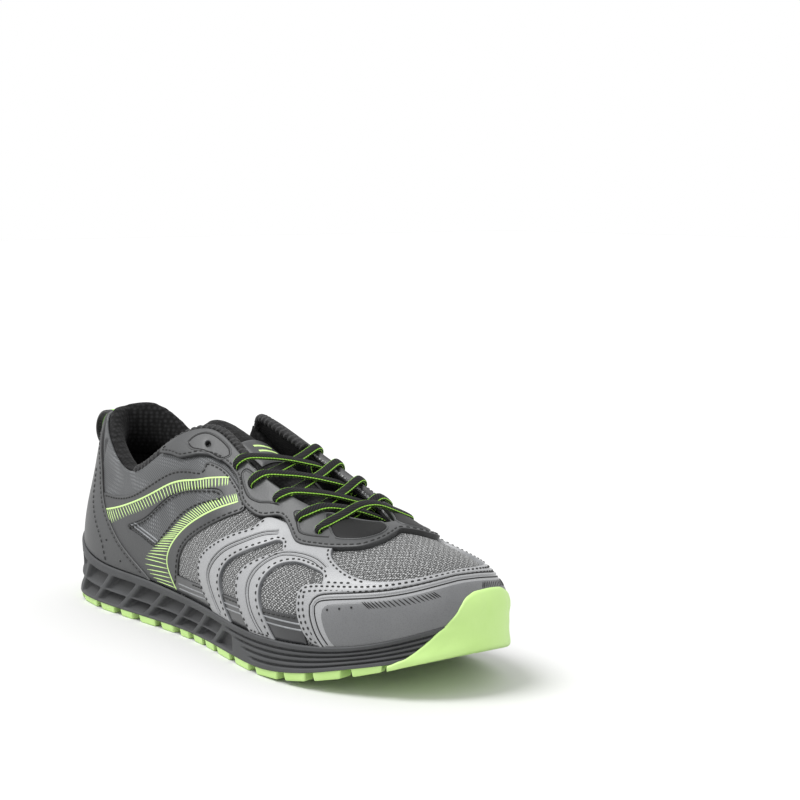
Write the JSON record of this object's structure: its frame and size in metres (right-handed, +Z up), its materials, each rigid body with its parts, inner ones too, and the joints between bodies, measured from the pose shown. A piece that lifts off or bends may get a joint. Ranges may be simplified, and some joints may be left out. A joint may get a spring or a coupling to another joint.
{
  "type": "running shoe",
  "caption": "Right trail running shoe with a grey mesh upper, layered overlays, lace, pull loop and lime lugged outsole.",
  "frame": {"origin": "centre of the shoe's bounding box, on the plane the lugs stand on", "axes": "+X from heel to toe, +Y to the wearer's left (medial side of this right shoe), +Z up"},
  "size_m": [0.3042, 0.1078, 0.11],
  "materials": {
    "lime_rubber": "matte moulded rubber",
    "grey_foam": "moulded EVA foam with a fine grain",
    "grey_mesh": "knitted mesh",
    "dark_synthetic": "soft synthetic leather, satin",
    "silver_synthetic": "coated synthetic leather, satin",
    "glossy_rand": "glossy film-coated synthetic",
    "black_knit": "knitted lining over foam",
    "stiff_board": "needled board",
    "black_webbing": "woven webbing and cord",
    "sockliner_cloth": "cloth over die-cut foam"
  },
  "bodies": {
    "shoe": {"outsole": "lime_rubber", "midsole": "grey_foam", "strobel_board": "stiff_board", "forefoot_mesh": "grey_mesh", "quarter_lateral": "dark_synthetic", "quarter_medial": "dark_synthetic", "toe_puff": "stiff_board", "heel_counter": "stiff_board", "vamp_lining": "black_knit", "quarter_lining": "black_knit", "collar_padding": "black_knit", "quarter_overlay_lateral": "dark_synthetic", "quarter_overlay_medial": "dark_synthetic", "rand_lateral": "glossy_rand", "rand_medial": "glossy_rand", "side_overlay_lateral": "silver_synthetic", "side_overlay_medial": "silver_synthetic", "toe_cap": "silver_synthetic", "heel_overlay": "dark_synthetic", "eyestay": "dark_synthetic", "topline_binding": "black_knit", "tongue_lower": "black_knit", "tongue_label": "dark_synthetic", "lace": "black_webbing", "aglet_first": "black_webbing", "aglet_second": "black_webbing"},
    "tongue_top": {"tongue_top": "black_knit"},
    "pull_loop": {"pull_loop": "black_webbing"},
    "sockliner": {"sockliner": "sockliner_cloth"}
  },
  "joints": [
    {"name": "tongue_fold", "type": "hinge", "parent": "shoe", "child": "tongue_top", "pos_m": [-0.02078, 0.00476, 0.0963], "axis": [0, 1, 0], "range_deg": [-6, 35]},
    {"name": "pull_loop_swing", "type": "hinge", "parent": "shoe", "child": "pull_loop", "pos_m": [-0.13728, 0.00476, 0.09], "axis": [0.2308, 0, 0.973], "range_deg": [-25, 25]},
    {"name": "sockliner_lift", "type": "hinge", "parent": "shoe", "child": "sockliner", "pos_m": [0.13122, 0.00876, 0.024], "axis": [0, 1, 0], "range_deg": [0, 5]}
  ]
}
